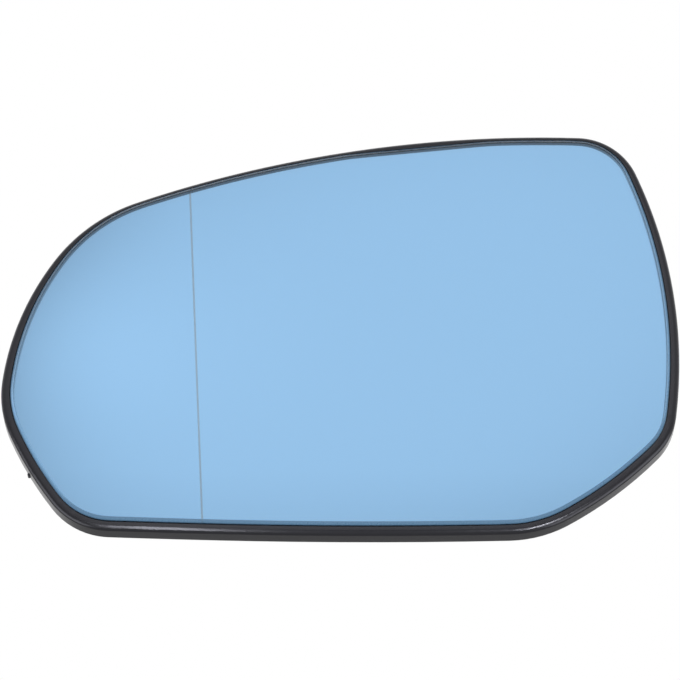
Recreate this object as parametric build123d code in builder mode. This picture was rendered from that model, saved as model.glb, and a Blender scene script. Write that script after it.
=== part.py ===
from build123d import *
import math
import os

# Door mirror glass for the left side of a car: a blue coated convex glass with a steeper outer zone,
# stuck through a heating pad onto a black moulded backing plate that clips to the mirror's actuator.
# Millimetres. The mirror faces -Y, +Z is up and the origin is the centre of the actuator collar's mouth.

# Outline of the glass seen from the front, as (across, up) from the collar's axis.
# The six corners are where neighbouring sides would meet before they are rounded.
TIP = (-92.85, -20.5)
BOTTOM_LEFT = (-72.4, -53.9)
BOTTOM_RIGHT = (54.55, -55.45)
RIGHT = (90.7, -28.6)
TOP_RIGHT = (77.45, 57.5)
SHOULDER = (-67.35, 34.55)
TIP_RADIUS = 26.0
BOTTOM_LEFT_RADIUS = 19.0
BOTTOM_RIGHT_RADIUS = 34.0
RIGHT_RADIUS = 16.0
TOP_RIGHT_RADIUS = 15.6
SHOULDER_RADIUS = 45.0

# How far each side bows out from the straight line between its corners.
LOWER_LEFT_BOW = 1.95
BOTTOM_BOW = 1.6
LOWER_RIGHT_BOW = 2.3
RIGHT_BOW = 7.2
TOP_BOW = 7.3
UPPER_LEFT_BOW = 6.35

# The plate has the same outline with all its corners dropped and the lower four spread as well, so that
# its lip is narrowest along the top.
SHOULDER_DROP = 1.55
TOP_RIGHT_DROP = 1.2
LOWER_DROP = 0.4
LOWER_SPREAD = 0.25

# A straight flat ground on the top edge of the glass, measured along the top side from its right corner.
FLAT_START = 35.0
FLAT_LENGTH = 40.0
FLAT_EASE = 60.0

# Curved form of the mirror: a sphere, and a steeper outer zone that starts at the etched line.
MIRROR_RADIUS = 1400.0
OUTER_ZONE_RADIUS = 600.0
LINE_OFFSET = 40.7
LINE_TILT = 2.5
LINE_WIDTH = 0.5
LINE_DEPTH = 0.1

# Layers from the front face backwards.
GLASS_THICKNESS = 2.0
GROUND_EDGE = 0.8
BOND_LINE = 0.1
PAD_THICKNESS = 0.8
PAD_INSET = 3.0
PAD_CLEARANCE = 0.3
WEB_THICKNESS = 2.0

# Rim of the backing plate.
# The glass lies against the top of its pocket, which is lower than the glass by the slack.
GLASS_CLEARANCE = 0.3
GLASS_SLACK = 0.25
LIP_SET_BACK = 0.65
LIP_WIDTH = 2.2
LIP_ROUND = 1.5
RIM_DEPTH = 8.2
SKIRT_WALL = 1.8

# Small nib on the rim's rear edge, measured along the lower left side from the tip.
NIB_RADIUS = 0.5
NIB_LENGTH = 2.0
NIB_ALONG = 18.8

# Collar that centres the plate on the actuator's head.
COLLAR_RADIUS = 18.0
COLLAR_WALL = 2.4
COLLAR_FLOOR = 1.0
COLLAR_BORE_LENGTH = 10.0

# Claws that snap over the actuator's ring, which enters the slot between them and the collar.
CLAW_COUNT = 4
CLAW_FIRST_ANGLE = 45.0
CLAW_SLOT = 6.6
CLAW_THICKNESS = 1.8
CLAW_WIDTH = 12.0
CLAW_LENGTH = 9.5
BARB_REACH = 1.4
BARB_LENGTH = 3.2
BARB_LAND = 0.8

# Stiffening ribs on the back.
RIB_THICKNESS = 1.6
RIB_SET_BACK = 0.6
RIB_COUNT = 12
CLAW_ROOM = 5.4

# Heater terminals, standing in a walled window of the web.
WINDOW_CENTRE = (58.0, -14.5)
WINDOW_WALL = 1.5
BLADE_WIDTH = 6.3
BLADE_THICKNESS = 0.8
BLADE_LENGTH = 10.0
BLADE_SPACING = 10.0
FEET_GAP = 2.8
PLUG_ROOM_ACROSS = 4.6
PLUG_ROOM_UP = 2.85
SOLDER_LINE = 0.05

# Cutting shapes run this far past what they cut.
CUT_MARGIN = 2.0

# Depths behind the front face that follow from the layers.
SEAT = GLASS_THICKNESS + BOND_LINE
PAD_BACK = SEAT + PAD_THICKNESS
WEB_FRONT = PAD_BACK + BOND_LINE
WEB_BACK = WEB_FRONT + WEB_THICKNESS
WEB_MIDDLE = WEB_FRONT + WEB_THICKNESS / 2
MOUTH = WEB_BACK + COLLAR_FLOOR + COLLAR_BORE_LENGTH
RIB_BACK = RIM_DEPTH - RIB_SET_BACK

# Sizes that follow from their neighbours.
RIM_GROWTH = GLASS_CLEARANCE + LIP_WIDTH
CLAW_RADIUS = COLLAR_RADIUS + COLLAR_WALL + CLAW_SLOT
CLAW_ROOT = WEB_MIDDLE - MOUTH
CLAW_TIP = WEB_BACK + CLAW_LENGTH - MOUTH
RING_RADIUS = CLAW_RADIUS + CLAW_THICKNESS + CLAW_ROOM + RIB_THICKNESS / 2
FOOT_LENGTH = (BLADE_SPACING + BLADE_THICKNESS - FEET_GAP) / 2
WINDOW_WIDTH = BLADE_SPACING + BLADE_THICKNESS + 2 * PLUG_ROOM_ACROSS
WINDOW_HEIGHT = BLADE_WIDTH + 2 * PLUG_ROOM_UP

# Corners of the glass in order round the outline, each with the side that follows it, and those of the seat.
CORNERS = (TIP, BOTTOM_LEFT, BOTTOM_RIGHT, RIGHT, TOP_RIGHT, SHOULDER)
RADII = (
    TIP_RADIUS,
    BOTTOM_LEFT_RADIUS,
    BOTTOM_RIGHT_RADIUS,
    RIGHT_RADIUS,
    TOP_RIGHT_RADIUS,
    SHOULDER_RADIUS,
)
BOWS = (LOWER_LEFT_BOW, BOTTOM_BOW, LOWER_RIGHT_BOW, RIGHT_BOW, TOP_BOW, UPPER_LEFT_BOW)
DROPS = (LOWER_DROP, LOWER_DROP, LOWER_DROP, LOWER_DROP, TOP_RIGHT_DROP, SHOULDER_DROP)
SPREADS = (-LOWER_SPREAD, -LOWER_SPREAD, LOWER_SPREAD, LOWER_SPREAD, 0, 0)
SEAT_CORNERS = tuple(
    (across + spread, up - drop) for (across, up), spread, drop in zip(CORNERS, SPREADS, DROPS)
)

# The form is swept about an axis one mirror radius behind the front face, leaning with the etched line.
# The sweep reaches past the rim on every side.
FORM_REACH = max(math.hypot(*corner) for corner in CORNERS) + max(BOWS) + RIM_GROWTH + CUT_MARGIN
LEAN = math.radians(LINE_TILT)
FORM_CENTRE = (0, MIRROR_RADIUS - MOUTH, 0)
FORM_ACROSS = (math.cos(LEAN), 0, math.sin(LEAN))
FORM_NORMAL = (math.sin(LEAN), 0, -math.cos(LEAN))
FORM_AXIS = Axis(FORM_CENTRE, FORM_ACROSS)
SWEEP = math.degrees(math.asin(FORM_REACH / MIRROR_RADIUS))
SECTION = Plane(FORM_CENTRE, x_dir=FORM_ACROSS, z_dir=FORM_NORMAL).rotated((-SWEEP, 0, 0))
LINE_ANGLE = math.degrees(math.asin(LINE_OFFSET / MIRROR_RADIUS))
OUTER_CENTRE = Vector(0, MIRROR_RADIUS - OUTER_ZONE_RADIUS).rotate(Axis.Z, LINE_ANGLE)
OUTER_SWEEP = math.degrees(math.asin((FORM_REACH + OUTER_CENTRE.X) / OUTER_ZONE_RADIUS)) - LINE_ANGLE

FRONT_VIEW = Plane.XZ


def form_arcs(depth):
    """The main and outer arcs of the mirror's form at a depth behind its front face."""
    main = CenterArc((0, 0), MIRROR_RADIUS - depth, 90 - SWEEP, SWEEP + LINE_ANGLE)
    outer = CenterArc(OUTER_CENTRE, OUTER_ZONE_RADIUS - depth, 90 + LINE_ANGLE, OUTER_SWEEP)
    return main, outer


def curved_layer(outline, front, back):
    """The layer between two depths behind the front face, cut to an outline."""
    with BuildPart(mode=Mode.PRIVATE) as layer:
        extrude(outline.sketch, amount=FORM_REACH, both=True)
        with BuildSketch(SECTION, mode=Mode.PRIVATE) as section:
            with BuildLine():
                front_main, front_outer = form_arcs(front)
                back_main, back_outer = form_arcs(back)
                Line(front_main @ 0, back_main @ 0)
                Line(front_outer @ 1, back_outer @ 1)
            make_face()
        revolve(section.sketch, axis=FORM_AXIS, revolution_arc=2 * SWEEP, mode=Mode.INTERSECT)
    return layer.part


def front_edges(part):
    """The edges that run round the outside of the faces looking forward."""
    edges = part.faces().filter_by(lambda face: face.normal_at().Y < -0.5).edges()
    return ShapeList(edge for edge in edges if sum(edge.is_same(other) for other in edges) == 1)


def sides(corners):
    """The six bowed sides between the corners."""
    ends = corners[1:] + corners[:1]
    return [SagittaArc(start, end, -bow) for start, end, bow in zip(corners, ends, BOWS)]


def rounded_outline(corners):
    """The outline with six bowed sides and rounded corners."""
    with BuildSketch(FRONT_VIEW, mode=Mode.PRIVATE) as outline:
        with BuildLine():
            sides(corners)
        make_face()
        for corner, radius in zip(corners, RADII):
            fillet(vertices().sort_by_distance(corner)[0], radius)
    return outline.sketch


def grown(outline, amount):
    """The outline moved outward by an amount, with every bow and corner drawn as a true arc."""
    with BuildSketch(FRONT_VIEW, mode=Mode.PRIVATE) as moved:
        add(outline)
        offset(amount=amount)
    with BuildSketch(FRONT_VIEW, mode=Mode.PRIVATE) as drawn:
        with BuildLine():
            for edge in moved.sketch_local.edges():
                if edge.geom_type == GeomType.LINE:
                    Line(edge @ 0, edge @ 1)
                else:
                    ThreePointArc(edge @ 0, edge @ 0.5, edge @ 1)
        make_face()
    return drawn


# The glass, apart from the flat on its top edge, and the seat that the plate is drawn from.
mirror_outline = rounded_outline(CORNERS)
seat_outline = rounded_outline(SEAT_CORNERS)
top_side = sides(CORNERS)[CORNERS.index(TOP_RIGHT)]
flat_right = top_side.position_at(FLAT_START, position_mode=PositionMode.LENGTH)
flat_left = top_side.position_at(FLAT_START + FLAT_LENGTH, position_mode=PositionMode.LENGTH)
above = Vector(0, CUT_MARGIN)
with BuildSketch(FRONT_VIEW) as glass_outline:
    add(mirror_outline)
    with BuildLine():
        Polyline(flat_right, flat_left, flat_left + above, flat_right + above, close=True)
    make_face(mode=Mode.SUBTRACT)
    fillet(vertices().sort_by_distance(flat_right)[0], FLAT_EASE)
    fillet(vertices().sort_by_distance(flat_left)[0], FLAT_EASE)

pocket_outline = grown(Location((0, 0, -GLASS_SLACK)) * glass_outline.sketch, GLASS_CLEARANCE)
pad_outline = grown(seat_outline, -PAD_INSET)
recess_outline = grown(seat_outline, PAD_CLEARANCE - PAD_INSET)
rim_outline = grown(seat_outline, RIM_GROWTH)
hollow_outline = grown(seat_outline, RIM_GROWTH - SKIRT_WALL)

# Line etched from edge to edge where the outer zone starts.
with BuildSketch(FRONT_VIEW.rotated((0, 0, LINE_TILT))) as etched_line:
    with Locations((-LINE_OFFSET, 0)):
        Rectangle(LINE_WIDTH, 2 * FORM_REACH)

# Nib on the outside of the rim.
lower_left_side = sides(SEAT_CORNERS)[CORNERS.index(TIP)]
nib_foot = lower_left_side.position_at(NIB_ALONG, position_mode=PositionMode.LENGTH)
nib_outward = lower_left_side.tangent_at(NIB_ALONG, position_mode=PositionMode.LENGTH).rotate(Axis.Z, -90)
with BuildSketch(FRONT_VIEW) as nib_outline:
    with Locations(nib_foot + nib_outward * RIM_GROWTH):
        Circle(NIB_RADIUS)

# Ribs run from a ring round the claws out to the skirt, and between the claws in to the collar.
with BuildSketch(FRONT_VIEW) as rib_outline:
    Circle(RING_RADIUS + RIB_THICKNESS / 2)
    Circle(RING_RADIUS - RIB_THICKNESS / 2, mode=Mode.SUBTRACT)
    with PolarLocations(COLLAR_RADIUS, CLAW_COUNT, start_angle=CLAW_FIRST_ANGLE + 180 / CLAW_COUNT):
        Rectangle(RING_RADIUS - COLLAR_RADIUS, RIB_THICKNESS, align=(Align.MIN, Align.CENTER))
    with PolarLocations(RING_RADIUS, RIB_COUNT):
        Rectangle(FORM_REACH, RIB_THICKNESS, align=(Align.MIN, Align.CENTER))
    add(hollow_outline.sketch, mode=Mode.INTERSECT)

with BuildSketch(FRONT_VIEW) as window_wall_outline:
    with Locations(WINDOW_CENTRE):
        Rectangle(WINDOW_WIDTH + 2 * WINDOW_WALL, WINDOW_HEIGHT + 2 * WINDOW_WALL)

with BuildSketch(FRONT_VIEW) as window_outline:
    with Locations(WINDOW_CENTRE):
        Rectangle(WINDOW_WIDTH, WINDOW_HEIGHT)

# The glass, with its front edge ground back and the line etched in its front face.
with BuildPart() as mirror_glass:
    add(curved_layer(glass_outline, 0, GLASS_THICKNESS))
    chamfer(front_edges(mirror_glass.part), GROUND_EDGE)
    add(curved_layer(etched_line, -CUT_MARGIN, LINE_DEPTH), mode=Mode.SUBTRACT)
mirror_glass.part.label = "mirror_glass"

# The heating pad, stuck to the back of the glass and to the plate.
with BuildPart() as heater_pad:
    add(curved_layer(pad_outline, SEAT, PAD_BACK))
heater_pad.part.label = "heater_pad"

# The backing plate, one moulding. The rim's lip is rounded before the pocket is cut into it.
with BuildPart() as backing_plate:
    add(curved_layer(rim_outline, LIP_SET_BACK, RIM_DEPTH))
    fillet(front_edges(backing_plate.part), LIP_ROUND)
    add(curved_layer(pocket_outline, LIP_SET_BACK - CUT_MARGIN, SEAT), mode=Mode.SUBTRACT)
    add(curved_layer(recess_outline, 0, WEB_FRONT), mode=Mode.SUBTRACT)
    add(curved_layer(hollow_outline, WEB_BACK, RIM_DEPTH + CUT_MARGIN), mode=Mode.SUBTRACT)
    add(curved_layer(nib_outline, RIM_DEPTH - NIB_LENGTH, RIM_DEPTH))
    add(curved_layer(rib_outline, WEB_MIDDLE, RIB_BACK))
    add(curved_layer(window_wall_outline, WEB_MIDDLE, RIB_BACK))
    add(curved_layer(window_outline, 0, RIB_BACK + CUT_MARGIN), mode=Mode.SUBTRACT)
    with BuildSketch(FRONT_VIEW):
        Circle(COLLAR_RADIUS + COLLAR_WALL)
    extrude(amount=MOUTH - WEB_MIDDLE)
    with BuildSketch(FRONT_VIEW):
        Circle(COLLAR_RADIUS)
    extrude(amount=COLLAR_BORE_LENGTH, mode=Mode.SUBTRACT)
    for claw in range(CLAW_COUNT):
        turn = CLAW_FIRST_ANGLE + claw * 360 / CLAW_COUNT
        with BuildSketch(Plane.XY.rotated((0, -turn, 0))):
            with BuildLine():
                Polyline(
                    (CLAW_RADIUS + CLAW_THICKNESS, CLAW_ROOT),
                    (CLAW_RADIUS + CLAW_THICKNESS, CLAW_TIP),
                    (CLAW_RADIUS, CLAW_TIP),
                    (CLAW_RADIUS - BARB_REACH, CLAW_TIP - BARB_LENGTH + BARB_LAND),
                    (CLAW_RADIUS - BARB_REACH, CLAW_TIP - BARB_LENGTH),
                    (CLAW_RADIUS, CLAW_TIP - BARB_LENGTH),
                    (CLAW_RADIUS, CLAW_ROOT),
                    close=True,
                )
            make_face()
        extrude(amount=CLAW_WIDTH / 2, both=True)
backing_plate.part.label = "backing_plate"


def terminal(side):
    """Outlines of a terminal's foot and blade, on the left (-1) or right (+1) of the window."""
    blade_x = WINDOW_CENTRE[0] + side * BLADE_SPACING / 2
    foot_x = blade_x + side * (BLADE_THICKNESS - FOOT_LENGTH) / 2
    with BuildSketch(FRONT_VIEW) as foot:
        with Locations((foot_x, WINDOW_CENTRE[1])):
            Rectangle(FOOT_LENGTH, BLADE_WIDTH)
    with BuildSketch(FRONT_VIEW) as blade:
        with Locations((blade_x, WINDOW_CENTRE[1])):
            Rectangle(BLADE_THICKNESS, BLADE_WIDTH)
    return foot, blade


# Two blades, each with a foot soldered to the pad.
FOOT_FRONT = PAD_BACK + SOLDER_LINE
left_foot, left_blade = terminal(-1)
with BuildPart() as heater_terminal_left:
    add(curved_layer(left_foot, FOOT_FRONT, FOOT_FRONT + BLADE_THICKNESS))
    add(curved_layer(left_blade, FOOT_FRONT, FOOT_FRONT + BLADE_LENGTH))
heater_terminal_left.part.label = "heater_terminal_left"

right_foot, right_blade = terminal(1)
with BuildPart() as heater_terminal_right:
    add(curved_layer(right_foot, FOOT_FRONT, FOOT_FRONT + BLADE_THICKNESS))
    add(curved_layer(right_blade, FOOT_FRONT, FOOT_FRONT + BLADE_LENGTH))
heater_terminal_right.part.label = "heater_terminal_right"

os.makedirs("parts", exist_ok=True)
export_step(mirror_glass.part, "parts/mirror_glass.step")
export_step(heater_pad.part, "parts/heater_pad.step")
export_step(backing_plate.part, "parts/backing_plate.step")
export_step(heater_terminal_left.part, "parts/heater_terminal_left.step")
export_step(heater_terminal_right.part, "parts/heater_terminal_right.step")
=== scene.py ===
# %% [markdown]
# # Car door mirror glass
# The part is a convex, blue coated mirror glass that is stuck to a heating pad and held in the lipped
# rim of a black moulded plate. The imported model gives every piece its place. This notebook gives them
# their looks, builds the glass again as a smooth optical body, and sets up the studio.

# %% Load the frame
import math
import bmesh
import bpy
import numpy as np
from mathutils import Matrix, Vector


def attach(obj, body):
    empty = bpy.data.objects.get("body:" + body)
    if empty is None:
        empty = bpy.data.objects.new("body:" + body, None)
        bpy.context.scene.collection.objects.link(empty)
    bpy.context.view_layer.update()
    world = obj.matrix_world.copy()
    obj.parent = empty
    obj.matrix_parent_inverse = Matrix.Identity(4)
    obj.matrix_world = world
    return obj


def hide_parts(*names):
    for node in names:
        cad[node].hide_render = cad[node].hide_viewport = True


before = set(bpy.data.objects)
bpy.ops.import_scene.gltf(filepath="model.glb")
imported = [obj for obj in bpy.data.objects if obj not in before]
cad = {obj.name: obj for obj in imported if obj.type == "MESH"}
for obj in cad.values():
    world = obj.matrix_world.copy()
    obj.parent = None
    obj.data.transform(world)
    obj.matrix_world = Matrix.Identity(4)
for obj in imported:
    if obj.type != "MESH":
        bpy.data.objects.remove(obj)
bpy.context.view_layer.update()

MM = 0.001
print("pieces:", ", ".join(sorted(cad)))

# %% [markdown]
# ## Small helpers for node trees
# Every tree below is made of the same few steps: add a node, set its options, feed its inputs from
# another socket or from a plain value. Keeping these steps in short functions leaves the cells that
# follow free to talk about glass and plastic.

# %% Node helpers
def add_node(tree, kind, feeds=None, **options):
    """Adds a node, sets its options, feeds its inputs and returns its outputs."""
    made = tree.nodes.new(kind)
    for name, value in options.items():
        setattr(made, name, value)
    for name, value in (feeds or {}).items():
        if isinstance(value, bpy.types.NodeSocket):
            tree.links.new(value, made.inputs[name])
        else:
            made.inputs[name].default_value = value
    return made.outputs


def calc(tree, operation, *values):
    """The result of a Math node whose inputs are sockets or numbers."""
    return add_node(tree, "ShaderNodeMath", dict(enumerate(values)), operation=operation)[0]


def span(tree, value, low, high, start=0.0, end=1.0):
    """A value that runs from start to end, spread between low and high."""
    feeds = {"Value": value, "From Min": start, "From Max": end, "To Min": low, "To Max": high}
    return add_node(tree, "ShaderNodeMapRange", feeds)[0]


def blend(tree, share, low, high):
    """A number between two others."""
    return add_node(tree, "ShaderNodeMix", {0: share, 2: low, 3: high}, data_type="FLOAT")[0]


def blend_tones(tree, share, low, high):
    """A colour between two others, which are given as red, green and blue."""
    feeds = {0: share, 6: (*low, 1.0), 7: (*high, 1.0)}
    return add_node(tree, "ShaderNodeMix", feeds, data_type="RGBA")[2]


def noise(tree, scale, detail):
    """Soft noise on the object's own coordinates."""
    where = add_node(tree, "ShaderNodeTexCoord")["Object"]
    return add_node(tree, "ShaderNodeTexNoise", {"Vector": where, "Scale": scale, "Detail": detail})[0]


# %% [markdown]
# ## Groups and materials
# A group is a tree with named sockets, used wherever its effect is needed. A material starts from one
# Principled shader, and a plain value goes straight onto its socket.

# %% Group and material helpers
def new_group(name, kind, inputs, outputs):
    """A node group with named sockets, as (group, its input sockets, its output sockets)."""
    group = bpy.data.node_groups.new(name, kind)
    for label, socket in inputs.items():
        group.interface.new_socket(label, in_out="INPUT", socket_type=socket)
    for label, socket in outputs.items():
        group.interface.new_socket(label, in_out="OUTPUT", socket_type=socket)
    return group, group.nodes.new("NodeGroupInput").outputs, group.nodes.new("NodeGroupOutput").inputs


def new_material(name, **values):
    """A material with a Principled shader whose inputs are set, as (material, tree, shader)."""
    material = bpy.data.materials.new(name)
    material.use_nodes = True
    tree = material.node_tree
    shader = tree.nodes["Principled BSDF"]
    for label, value in values.items():
        shader.inputs[label.replace("_", " ")].default_value = value
    return material, tree, shader


def smooth_shade(tree, mesh, crease):
    """Shades a mesh smooth in a geometry tree, apart from edges that bend by more than the crease."""
    mesh = add_node(tree, "GeometryNodeSetShadeSmooth", {"Geometry": mesh}, domain="FACE")[0]
    sharp = calc(tree, "GREATER_THAN", add_node(tree, "GeometryNodeInputMeshEdgeAngle")[0], crease)
    feeds = {"Geometry": mesh, "Selection": sharp, "Shade Smooth": False}
    return add_node(tree, "GeometryNodeSetShadeSmooth", feeds, domain="EDGE")[0]


# %% [markdown]
# ## Outline of the glass
# A glass cutter follows one closed line. The frame already holds it, as the loop of edges round the
# back face of the glass. Its points lie on the true outline but are far apart on the long sides, so a
# smooth curve is passed through them and stepped off evenly, which keeps the ground edge free of facets.

# %% Read the outline
WELD = 0.001 * MM
FACES_BACK = 0.9
OUTLINE_STEPS = 640
STEPS_BETWEEN = 24


def back_loop(node):
    """Points round the back face of a CAD node, counter-clockwise as seen from the front."""
    shell = bmesh.new()
    shell.from_mesh(node.data)
    bmesh.ops.remove_doubles(shell, verts=shell.verts, dist=WELD)
    back = {face for face in shell.faces if face.normal.y > FACES_BACK}
    rim = {edge for face in back for edge in face.edges if not set(edge.link_faces) <= back}
    start = min((edge.verts[0] for edge in rim), key=lambda vert: vert.co.x)
    loop = [start]
    while len(loop) < len(rim):
        around = [edge.other_vert(loop[-1]) for edge in loop[-1].link_edges if edge in rim]
        loop.append(next(vert for vert in around if vert not in loop[-2:]))
    points = np.array([(vert.co.x, vert.co.z) for vert in loop])
    shell.free()
    ahead = np.roll(points, -1, axis=0)
    area = np.sum(points[:, 0] * ahead[:, 1] - points[:, 1] * ahead[:, 0]) / 2
    return points if area > 0 else points[::-1]


def even_loop(points, count):
    """Evenly spaced points on a smooth closed curve through the given points, and its length."""
    step = np.roll(points, -1, axis=0) - points
    length = np.linalg.norm(step, axis=1)[:, None]
    heading = step / length
    tangent = np.roll(heading, 1, axis=0) * length + heading * np.roll(length, 1, axis=0)
    tangent /= np.linalg.norm(tangent, axis=1)[:, None]
    t = (np.arange(STEPS_BETWEEN) / STEPS_BETWEEN)[:, None, None]
    near, far = points, np.roll(points, -1, axis=0)
    leave, arrive = tangent * length, np.roll(tangent, -1, axis=0) * length
    fine = (2 * t**3 - 3 * t**2 + 1) * near + (t**3 - 2 * t**2 + t) * leave
    fine = fine + (3 * t**2 - 2 * t**3) * far + (t**3 - t**2) * arrive
    fine = fine.transpose(1, 0, 2).reshape(-1, 2)
    closed = np.vstack([fine, fine[:1]])
    along = np.concatenate([[0], np.cumsum(np.linalg.norm(np.diff(closed, axis=0), axis=1))])
    stops = np.arange(count) / count * along[-1]
    return np.column_stack([np.interp(stops, along, closed[:, axis]) for axis in (0, 1)]), along[-1]


glass_loop, glass_girth = even_loop(back_loop(cad["mirror_glass"]), OUTLINE_STEPS)
print("outline of the glass: %.1f mm round" % (glass_girth / MM))
print("a point every %.2f mm" % (glass_girth / MM / OUTLINE_STEPS))

# %% [markdown]
# ## The curved form
# The front of the glass is part of a large sphere. Left of the etched line it bends away faster, so
# that the driver sees more of the next lane. Both zones are arcs swept about one axis behind the mirror,
# which leans with the line. This group gives the depth of any point of that form, and the glass uses it
# for its front and for its back.

# %% Form group
FORM_SIZES = ("Apex", "Mirror Radius", "Outer Radius", "Line Offset", "Line Tilt")
form, form_in, form_out = new_group(
    "Mirror form",
    "GeometryNodeTree",
    dict.fromkeys(("Across", "Up", "Depth") + FORM_SIZES, "NodeSocketFloat"),
    {"Y": "NodeSocketFloat"},
)
lean_cos = calc(form, "COSINE", form_in["Line Tilt"])
lean_sin = calc(form, "SINE", form_in["Line Tilt"])
along = calc(
    form,
    "ADD",
    calc(form, "MULTIPLY", form_in["Across"], lean_cos),
    calc(form, "MULTIPLY", form_in["Up"], lean_sin),
)
beside = calc(
    form,
    "SUBTRACT",
    calc(form, "MULTIPLY", form_in["Up"], lean_cos),
    calc(form, "MULTIPLY", form_in["Across"], lean_sin),
)


def arc_height(radius, centre_along, centre_up):
    """Distance from the sweep axis of an arc in the section, at the point's place along the section."""
    reach = calc(form, "SUBTRACT", radius, form_in["Depth"])
    offset = calc(form, "SUBTRACT", along, centre_along)
    square = calc(form, "SUBTRACT", calc(form, "POWER", reach, 2.0), calc(form, "POWER", offset, 2.0))
    return calc(form, "ADD", centre_up, calc(form, "SQRT", square))


line_angle = calc(form, "ARCSINE", calc(form, "DIVIDE", form_in["Line Offset"], form_in["Mirror Radius"]))
shift = calc(form, "SUBTRACT", form_in["Mirror Radius"], form_in["Outer Radius"])
outer_along = calc(form, "MULTIPLY", calc(form, "MULTIPLY", shift, calc(form, "SINE", line_angle)), -1.0)
outer_up = calc(form, "MULTIPLY", shift, calc(form, "COSINE", line_angle))
main_height = arc_height(form_in["Mirror Radius"], 0.0, 0.0)
outer_height = arc_height(form_in["Outer Radius"], outer_along, outer_up)
border = calc(
    form,
    "MULTIPLY",
    calc(form, "SUBTRACT", form_in["Depth"], form_in["Mirror Radius"]),
    calc(form, "SINE", line_angle),
)
height = blend(form, calc(form, "LESS_THAN", along, border), main_height, outer_height)
swept = calc(form, "SUBTRACT", calc(form, "POWER", height, 2.0), calc(form, "POWER", beside, 2.0))
axis_y = calc(form, "ADD", form_in["Apex"], form_in["Mirror Radius"])
form.links.new(calc(form, "SUBTRACT", axis_y, calc(form, "SQRT", swept)), form_out["Y"])
print("form group:", len(form.nodes), "nodes")

# %% [markdown]
# ## The glass body
# The glass is 2 mm thick. Its front edge is ground to a bevel and the arris where the bevel meets the side
# is eased, so that nothing sharp is left. The body is laid out as rings, from the middle of the front face
# out over the ground edge, down the side and back to the middle of the back face. It starts as a flat sheet
# with a row of points for each ring and a column for each step along the outline.

# %% Rings of the glass
EXTRA_ROWS = 4.0

glass, glass_in, glass_out = new_group(
    "Glass body",
    "GeometryNodeTree",
    {
        "Outline": "NodeSocketGeometry",
        "Steps": "NodeSocketInt",
        "Rings": "NodeSocketInt",
        **dict.fromkeys(("Thickness", "Ground Edge") + FORM_SIZES, "NodeSocketFloat"),
        **dict.fromkeys(("Clear", "Ground", "Silvered"), "NodeSocketMaterial"),
    },
    {"Glass": "NodeSocketGeometry"},
)
rings = glass_in["Rings"]
rows = calc(glass, "ADD", calc(glass, "MULTIPLY", rings, 2.0), EXTRA_ROWS)
columns = calc(glass, "ADD", glass_in["Steps"], 1.0)
sheet = add_node(glass, "GeometryNodeMeshGrid", {"Vertices X": columns, "Vertices Y": rows})["Mesh"]
index = add_node(glass, "GeometryNodeInputIndex")[0]
column = calc(glass, "FLOOR", calc(glass, "DIVIDE", calc(glass, "ADD", index, 0.5), rows))
row = calc(glass, "SUBTRACT", index, calc(glass, "MULTIPLY", column, rows))
held = add_node(
    glass,
    "GeometryNodeStoreNamedAttribute",
    {"Geometry": sheet, "Name": "ring", "Value": row},
    data_type="FLOAT",
)["Geometry"]

curve = add_node(glass, "GeometryNodeMeshToCurve", {"Mesh": glass_in["Outline"]})["Curve"]
sample = add_node(
    glass,
    "GeometryNodeSampleCurve",
    {"Curves": curve, "Factor": calc(glass, "DIVIDE", column, glass_in["Steps"])},
    mode="FACTOR",
    use_all_curves=True,
)
spot = add_node(glass, "ShaderNodeSeparateXYZ", {0: sample["Position"]})
heading = add_node(glass, "ShaderNodeSeparateXYZ", {0: sample["Tangent"]})
print("glass group:", len(glass.nodes), "nodes for the rings")

# %% [markdown]
# ## Place the rings
# Each ring is the outline, drawn in or pushed back, and set on the curved form. Counted from the rim of the
# front face, ring 1 is the arris, ring 2 the top of the side, and ring 3 the rim of the back face. The place
# of the arris and the depth of the bevel are shares of the bevel's width.

# %% Place the rings
ARRIS_RING, SIDE_RING, BACK_RING = 1.0, 2.0, 3.0
HALF_RING = 0.5
ARRIS_INSET = 0.32
ARRIS_DEPTH = 0.56
SIDE_DEPTH = 1.2

past_front = calc(glass, "SUBTRACT", row, rings)
on_front = calc(glass, "LESS_THAN", past_front, HALF_RING)
on_arris = calc(glass, "COMPARE", past_front, ARRIS_RING, HALF_RING)
on_side = calc(glass, "COMPARE", past_front, SIDE_RING, HALF_RING)
on_back = calc(glass, "GREATER_THAN", past_front, BACK_RING - HALF_RING)
rows_left = calc(glass, "SUBTRACT", calc(glass, "SUBTRACT", rows, 1.0), row)
outward = calc(
    glass,
    "MINIMUM",
    calc(glass, "DIVIDE", row, rings),
    calc(glass, "DIVIDE", rows_left, rings),
)
outward = calc(glass, "MINIMUM", outward, 1.0)
inset = calc(glass, "ADD", on_front, calc(glass, "MULTIPLY", on_arris, ARRIS_INSET))
inset = calc(glass, "MULTIPLY", inset, glass_in["Ground Edge"])
across = calc(glass, "SUBTRACT", spot["X"], calc(glass, "MULTIPLY", heading["Z"], inset))
up = calc(glass, "ADD", spot["Z"], calc(glass, "MULTIPLY", heading["X"], inset))
across = calc(glass, "MULTIPLY", across, outward)
up = calc(glass, "MULTIPLY", up, outward)
ground_depth = calc(
    glass,
    "ADD",
    calc(glass, "MULTIPLY", on_arris, ARRIS_DEPTH),
    calc(glass, "MULTIPLY", on_side, SIDE_DEPTH),
)
depth = calc(
    glass,
    "ADD",
    calc(glass, "MULTIPLY", ground_depth, glass_in["Ground Edge"]),
    calc(glass, "MULTIPLY", on_back, glass_in["Thickness"]),
)
shape_feeds = {"Across": across, "Up": up, "Depth": depth}
shape_feeds.update((label, glass_in[label]) for label in FORM_SIZES)
shape = add_node(glass, "GeometryNodeGroup", shape_feeds, node_tree=form)
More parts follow.
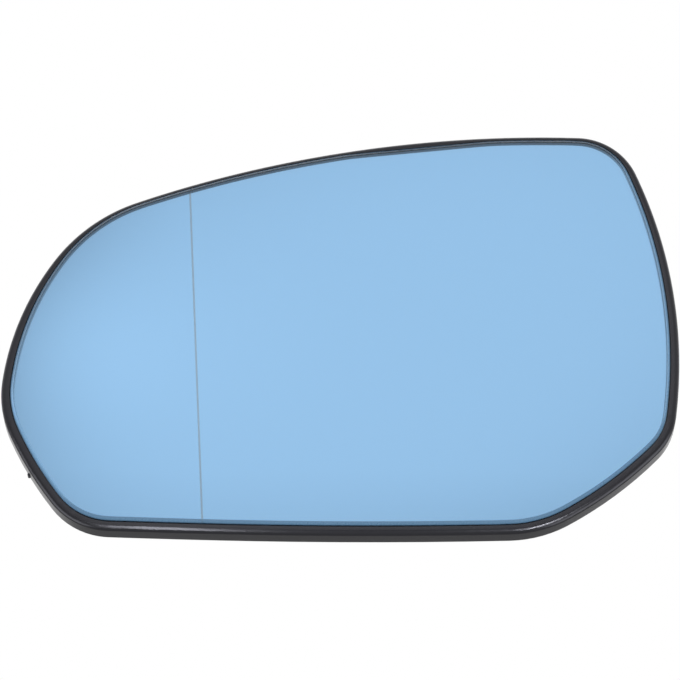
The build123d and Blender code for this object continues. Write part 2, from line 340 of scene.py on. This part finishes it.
place = add_node(glass, "ShaderNodeCombineXYZ", {"X": across, "Y": shape["Y"], "Z": up})[0]
body = add_node(glass, "GeometryNodeSetPosition", {"Geometry": held, "Position": place})[0]
print("glass group:", len(glass.nodes), "nodes with the places")

# %% [markdown]
# ## Close the body and give it its finishes
# The sheet's seam and its two middles are welded, which closes the body. The front, the ground edge and the
# silvered back are told apart by their ring, so each gets its finish.

# %% Close the body
SEAM_WELD = 0.0005 * MM
GLASS_CREASE = math.radians(30)
GROUND_FROM = 0.25
SILVERED_FROM = 3.0

body = add_node(glass, "GeometryNodeMergeByDistance", {"Geometry": body, "Distance": SEAM_WELD})[0]
body = add_node(glass, "GeometryNodeFlipFaces", {"Mesh": body})[0]
body = smooth_shade(glass, body, GLASS_CREASE)
ring = add_node(glass, "GeometryNodeInputNamedAttribute", {"Name": "ring"}, data_type="FLOAT")["Attribute"]
past_rim = calc(glass, "SUBTRACT", ring, rings)
body = add_node(glass, "GeometryNodeSetMaterial", {"Geometry": body, "Material": glass_in["Clear"]})[0]
for limit, label in ((GROUND_FROM, "Ground"), (SILVERED_FROM, "Silvered")):
    chosen = calc(glass, "GREATER_THAN", past_rim, limit)
    feeds = {"Geometry": body, "Selection": chosen, "Material": glass_in[label]}
    body = add_node(glass, "GeometryNodeSetMaterial", feeds)[0]
glass.links.new(body, glass_out["Glass"])
print("glass group:", len(glass.nodes), "nodes in all")

# %% [markdown]
# ## A fine grain for worked surfaces
# Moulded plastic, ground glass, rolled metal and printed film all carry a fine grain. One group makes
# it for all of them: a slight unevenness of the surface and a number that lets the sheen and tone vary.

# %% Grain group
GRAIN_DETAIL = 3.0

grain, grain_in, grain_out = new_group(
    "Fine grain",
    "ShaderNodeTree",
    {"Grain Size": "NodeSocketFloat", "Height": "NodeSocketFloat"},
    {"Normal": "NodeSocketVector", "Variation": "NodeSocketFloat"},
)
pits = noise(grain, calc(grain, "DIVIDE", 1.0, grain_in["Grain Size"]), GRAIN_DETAIL)
bump_feeds = {"Height": pits, "Distance": grain_in["Height"], "Strength": 1.0}
grain.links.new(add_node(grain, "ShaderNodeBump", bump_feeds)[0], grain_out["Normal"])
grain.links.new(pits, grain_out["Variation"])


def grained_material(name, size, height, roughness, tones=None, **values):
    """A material with a grain of a size and height, which varies its roughness and, if given, its tones."""
    material, tree, shader = new_material(name, **values)
    texture = add_node(tree, "ShaderNodeGroup", {"Grain Size": size, "Height": height}, node_tree=grain)
    tree.links.new(texture["Normal"], shader.inputs["Normal"])
    tree.links.new(span(tree, texture["Variation"], *roughness), shader.inputs["Roughness"])
    if tones:
        tree.links.new(blend_tones(tree, texture["Variation"], *tones), shader.inputs["Base Color"])
    return material


print("grain group:", len(grain.nodes), "nodes")

# %% [markdown]
# ## Glass finishes
# The mirror is silvered on its back, so it is seen through 2 mm of clear glass. The coating gives the
# blue. The front is polished, apart from the brownish line etched where the outer zone starts, and the edge
# is left matt by the grinding wheel.

# %% Glass materials
LINE_OFFSET = 40.7 * MM
LINE_TILT = math.radians(2.5)
LINE_WIDTH = 0.5 * MM
ETCHED_ROUGHNESS = 0.26
CLEAR_TONE = (0.985, 0.99, 0.99)
ETCHED_TONE = (1.0, 0.80, 0.69)
GLASS_IOR = 1.52
BLUE_TONES = ((0.300, 0.555, 0.845), (0.306, 0.565, 0.860))
CLOUDS_PER_METRE = 9.0

clear, clear_tree, clear_shader = new_material("clear_glass", IOR=GLASS_IOR, Transmission_Weight=1.0)
from_line = add_node(
    clear_tree,
    "ShaderNodeVectorMath",
    {
        0: add_node(clear_tree, "ShaderNodeTexCoord")["Object"],
        1: (math.cos(LINE_TILT), 0.0, math.sin(LINE_TILT)),
    },
    operation="DOT_PRODUCT",
)["Value"]
from_line = calc(clear_tree, "ABSOLUTE", calc(clear_tree, "ADD", from_line, LINE_OFFSET))
etched = calc(clear_tree, "LESS_THAN", from_line, LINE_WIDTH / 2)
clear_tree.links.new(span(clear_tree, etched, 0.0, ETCHED_ROUGHNESS), clear_shader.inputs["Roughness"])
tone = blend_tones(clear_tree, etched, CLEAR_TONE, ETCHED_TONE)
clear_tree.links.new(tone, clear_shader.inputs["Base Color"])

ground = grained_material(
    "ground_glass",
    size=0.12 * MM,
    height=0.01 * MM,
    roughness=(0.22, 0.34),
    Base_Color=(0.80, 0.84, 0.86, 1.0),
    IOR=GLASS_IOR,
    Transmission_Weight=1.0,
)

silvered, silver_tree, silver_shader = new_material("blue_coating", Metallic=1.0, Roughness=0.0)
blue = blend_tones(silver_tree, noise(silver_tree, CLOUDS_PER_METRE, 1.0), *BLUE_TONES)
silver_tree.links.new(blue, silver_shader.inputs["Base Color"])
print("glass finishes:", clear.name, ground.name, silvered.name)

# %% [markdown]
# ## Make the glass
# The outline goes in as a loop of edges and the group turns it into the body. The result is kept as a
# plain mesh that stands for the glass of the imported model.

# %% Build the glass
loop_mesh = bpy.data.meshes.new("glass_outline")
loop_mesh.from_pydata(
    [(x, 0.0, z) for x, z in glass_loop],
    [(i, (i + 1) % OUTLINE_STEPS) for i in range(OUTLINE_STEPS)],
    [],
)
mirror = bpy.data.objects.new("mirror", loop_mesh)
bpy.context.scene.collection.objects.link(mirror)


def shape_by(obj, group, values):
    """Runs a geometry group on an object with the given inputs and keeps the result as a plain mesh."""
    modifier = obj.modifiers.new(group.name, "NODES")
    modifier.node_group = group
    for item in group.interface.items_tree:
        if item.in_out == "INPUT" and item.name in values:
            modifier[item.identifier] = values[item.name]
    shown = obj.evaluated_get(bpy.context.evaluated_depsgraph_get())
    mesh = bpy.data.meshes.new_from_object(shown)
    while None in list(mesh.materials):
        mesh.materials.pop(index=list(mesh.materials).index(None))
    obj.modifiers.clear()
    obj.data = mesh


shape_by(
    mirror,
    glass,
    {
        "Steps": OUTLINE_STEPS,
        "Rings": 48,
        "Thickness": 2.0 * MM,
        "Ground Edge": 0.8 * MM,
        "Apex": -16.0 * MM,
        "Mirror Radius": 1400.0 * MM,
        "Outer Radius": 600.0 * MM,
        "Line Offset": LINE_OFFSET,
        "Line Tilt": LINE_TILT,
        "Clear": clear,
        "Ground": ground,
        "Silvered": silvered,
    },
)
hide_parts("mirror_glass")
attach(mirror, "root")
print("glass:", len(mirror.data.vertices), "points,", [material.name for material in mirror.data.materials])

# %% [markdown]
# ## The backing plate
# The plate is injection moulded in black plastic with a satin grain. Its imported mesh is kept, and two
# modifiers weld the triangles and round the shading over the lip without touching the moulded edges.

# %% Plate finish
PLATE_CREASE = math.radians(32)

smoother, smoother_in, smoother_out = new_group(
    "Weld and smooth",
    "GeometryNodeTree",
    {"Mesh": "NodeSocketGeometry", "Crease Angle": "NodeSocketFloat"},
    {"Smoothed": "NodeSocketGeometry"},
)
weld_feeds = {"Geometry": smoother_in["Mesh"], "Distance": WELD}
welded = add_node(smoother, "GeometryNodeMergeByDistance", weld_feeds)[0]
smoothed = smooth_shade(smoother, welded, smoother_in["Crease Angle"])
smoother.links.new(smoothed, smoother_out["Smoothed"])


def smooth_node(node, crease):
    """Welds and smooths the shading of a CAD node with live modifiers."""
    modifier = node.modifiers.new("Weld and smooth", "NODES")
    modifier.node_group = smoother
    modifier[smoother.interface.items_tree["Crease Angle"].identifier] = crease
    node.modifiers.new("Even shading", "WEIGHTED_NORMAL").keep_sharp = True


def finish_node(name, material):
    """Gives a CAD node its material."""
    cad[name].data.materials.clear()
    cad[name].data.materials.append(material)


black = grained_material(
    "black_plastic",
    size=0.15 * MM,
    height=0.0015 * MM,
    roughness=(0.20, 0.28),
    tones=((0.009, 0.009, 0.011), (0.013, 0.013, 0.015)),
    IOR=1.68,
    Specular_Tint=(0.88, 0.89, 1.0, 1.0),
)
finish_node("backing_plate", black)
smooth_node(cad["backing_plate"], PLATE_CREASE)
print("plate:", len(cad["backing_plate"].data.polygons), "triangles")

# %% [markdown]
# ## Heating pad and terminals
# The pad is a printed film with adhesive on both faces. Only the part in the window of the plate can be
# seen, from the back. The two blades that take the heater's plug are tinned brass.

# %% Pad and terminals
film = grained_material(
    "heating_film",
    size=0.4 * MM,
    height=0.01 * MM,
    roughness=(0.45, 0.7),
    tones=((0.13, 0.08, 0.05), (0.19, 0.12, 0.08)),
    IOR=1.5,
)
finish_node("heater_pad", film)

tinned = grained_material(
    "tinned_brass",
    size=0.25 * MM,
    height=0.002 * MM,
    roughness=(0.25, 0.45),
    tones=((0.66, 0.60, 0.47), (0.76, 0.72, 0.60)),
    Metallic=1.0,
)
for side in ("left", "right"):
    finish_node("heater_terminal_" + side, tinned)
print("hidden pieces:", film.name, tinned.name)

# %% [markdown]
# ## Floor
# The glass hangs in a white studio over a plain pale floor.

# %% Floor
FLOOR_LEVEL = -0.6
FLOOR_REACH = 4.0
PALE_TONES = ((0.80, 0.80, 0.80), (0.84, 0.84, 0.84))
PATCHES_PER_METRE = 3.0

scene = bpy.context.scene
floor_mesh = bpy.data.meshes.new("floor")
floor_mesh.from_pydata(
    [(x * FLOOR_REACH, y * FLOOR_REACH, FLOOR_LEVEL) for x, y in ((-1, -1), (1, -1), (1, 1), (-1, 1))],
    [],
    [(0, 1, 2, 3)],
)
floor = bpy.data.objects.new("floor", floor_mesh)
scene.collection.objects.link(floor)
pale, pale_tree, pale_shader = new_material("pale_floor", Roughness=0.8)
pale_tone = blend_tones(pale_tree, noise(pale_tree, PATCHES_PER_METRE, 2.0), *PALE_TONES)
pale_tree.links.new(pale_tone, pale_shader.inputs["Base Color"])
floor.data.materials.append(pale)
print("floor: %.1f m below the part" % -floor_mesh.vertices[0].co.z)

# %% [markdown]
# ## What the mirror shows
# A mirror is a picture of what lies before it. The studio is white all round and dims below the horizon.
# In front of the mirror and a little above it stands a broad soft panel that leans to the right and fades
# toward its edges, with a faint glow beyond its left end. Places and sizes are parts of a view direction.
# Eyes and reflections see all this as it is. The light that it casts is kept low, for the lamps to add to.

# %% Surroundings
WALL_DIM_BELOW = -0.1
WALL_WHITE_ABOVE = 0.23
WALL_DIMMEST = 0.3
PANEL_MIDDLE = (0.019, 0.304)
PANEL_REACH = (0.24, 0.164)
PANEL_LEAN = 0.57
PANEL_LEVEL = 0.962
PANEL_FADE = 0.19
PANEL_DIMMEST = 0.5
GLOW_MIDDLE = (-0.2835, 0.304)
GLOW_REACH = (0.167, 0.057)
GLOW_LEVEL = 0.18
FRONT_EASE = 0.2
FAR_LIGHT = 0.22

world = bpy.data.worlds.new("studio")
scene.world = world
world.use_nodes = True
sky = world.node_tree
compass = add_node(sky, "ShaderNodeSeparateXYZ", {0: add_node(sky, "ShaderNodeTexCoord")["Generated"]})


def away(middle, reach, lean):
    """Squared distance of a direction from the middle of a light, where 1 is at its reach."""
    rise = calc(sky, "SUBTRACT", compass["Z"], middle[1])
    side = calc(sky, "SUBTRACT", compass["X"], middle[0])
    side = calc(sky, "SUBTRACT", side, calc(sky, "MULTIPLY", rise, lean))
    across, up = calc(sky, "DIVIDE", side, reach[0]), calc(sky, "DIVIDE", rise, reach[1])
    return calc(sky, "ADD", calc(sky, "MULTIPLY", across, across), calc(sky, "MULTIPLY", up, up))


wall = span(sky, compass["Z"], WALL_DIMMEST, 1.0, WALL_DIM_BELOW, WALL_WHITE_ABOVE)
fade = calc(sky, "POWER", away(PANEL_MIDDLE, PANEL_REACH, PANEL_LEAN), 2.0)
fade = calc(sky, "MULTIPLY", fade, PANEL_FADE)
panel = calc(sky, "MAXIMUM", calc(sky, "SUBTRACT", 1.0, fade), PANEL_DIMMEST)
glow = calc(sky, "EXPONENT", calc(sky, "MULTIPLY", away(GLOW_MIDDLE, GLOW_REACH, 0.0), -1.0))
panel = calc(sky, "ADD", calc(sky, "MULTIPLY", panel, PANEL_LEVEL), calc(sky, "MULTIPLY", glow, GLOW_LEVEL))
ahead = span(sky, compass["Y"], 0.0, 1.0, FRONT_EASE, -FRONT_EASE)
shown = calc(sky, "MULTIPLY", wall, blend(sky, ahead, 1.0, panel))
ray = add_node(sky, "ShaderNodeLightPath")
looked_at = calc(sky, "MAXIMUM", ray["Is Camera Ray"], ray["Is Glossy Ray"])
looked_at = calc(sky, "MAXIMUM", looked_at, ray["Is Transmission Ray"])
background = sky.nodes["Background"]
sky.links.new(blend(sky, looked_at, FAR_LIGHT, shown), background.inputs["Strength"])
background.inputs["Color"].default_value = (1.0, 1.0, 1.0, 1.0)
print("surroundings:", len(sky.nodes), "nodes")

# %% [markdown]
# ## Lamps
# A broad lamp in front and one behind light both faces at a plain level. Two narrow strips below draw the
# short highlights on the rounded lip, near the lower corners, and a soft lamp on either side lifts the
# outer wall of the rim. These four light the plate alone, so that the mirror shows no lamp from any side.

# %% Lamps
MIDDLE = (0.0, 0.0, 0.0)
LIP_LEFT = (-0.055, -0.014, -0.057)
LIP_RIGHT = (0.055, -0.014, -0.057)
FILL_SIZE = (0.3, 0.4)
FILL_WATTS = 0.5
BROAD_SPREAD = 70.0


def soft_lamp(name, place, target, size, watts, spread=180.0):
    """A rectangular soft lamp that looks at a target point."""
    data = bpy.data.lights.new(name, "AREA")
    data.shape = "RECTANGLE"
    data.size, data.size_y = size
    data.energy = watts
    data.spread = math.radians(spread)
    lamp = bpy.data.objects.new(name, data)
    lamp.location = place
    lamp.rotation_euler = (Vector(target) - Vector(place)).to_track_quat("-Z", "Y").to_euler()
    lamp.visible_camera = False
    scene.collection.objects.link(lamp)
    return lamp


broad_lamps = (
    soft_lamp("key", (0.05, -0.65, 0.15), MIDDLE, (0.4, 0.3), 0.42, BROAD_SPREAD),
    soft_lamp("back", (-0.15, 0.75, 0.3), MIDDLE, (0.5, 0.4), 1.15, BROAD_SPREAD),
)
for lamp in broad_lamps:
    lamp.visible_glossy = False
    lamp.visible_transmission = False

rim_lamps = (
    soft_lamp("low_left", (-0.076, -0.162, -0.142), LIP_LEFT, (0.042, 0.17), 0.152),
    soft_lamp("low_right", (0.115, -0.180, -0.148), LIP_RIGHT, (0.02, 0.10), 0.16),
    soft_lamp("fill_left", (-0.38, -0.05, -0.25), MIDDLE, FILL_SIZE, FILL_WATTS),
    soft_lamp("fill_right", (0.36, -0.05, -0.25), MIDDLE, FILL_SIZE, FILL_WATTS),
)
rim_only = bpy.data.collections.new("rim_only")
rim_only.objects.link(cad["backing_plate"])
for lamp in rim_lamps:
    lamp.light_linking.receiver_collection = rim_only
print("lamps:", ", ".join(lamp.name for lamp in broad_lamps + rim_lamps))

# %% [markdown]
# ## Camera
# The part is looked at from a little below, through a long lens.

# %% Camera
LOOK_UP = math.radians(18)
AIM = Vector((0.0, -16.0, -3.0)) * MM
DISTANCE = 1500.0 * MM
SENSOR_WIDTH = 36.0
FOCAL_LENGTH = 283.1

camera = bpy.data.objects.new("camera", bpy.data.cameras.new("camera"))
scene.collection.objects.link(camera)
camera.location = AIM - DISTANCE * Vector((0.0, math.cos(LOOK_UP), math.sin(LOOK_UP)))
camera.rotation_euler = (math.radians(90) + LOOK_UP, 0.0, 0.0)
camera.data.sensor_width = SENSOR_WIDTH
camera.data.lens = FOCAL_LENGTH
scene.camera = camera
scene.view_settings.view_transform = "Standard"
print("camera at", [round(value, 4) for value in camera.location])
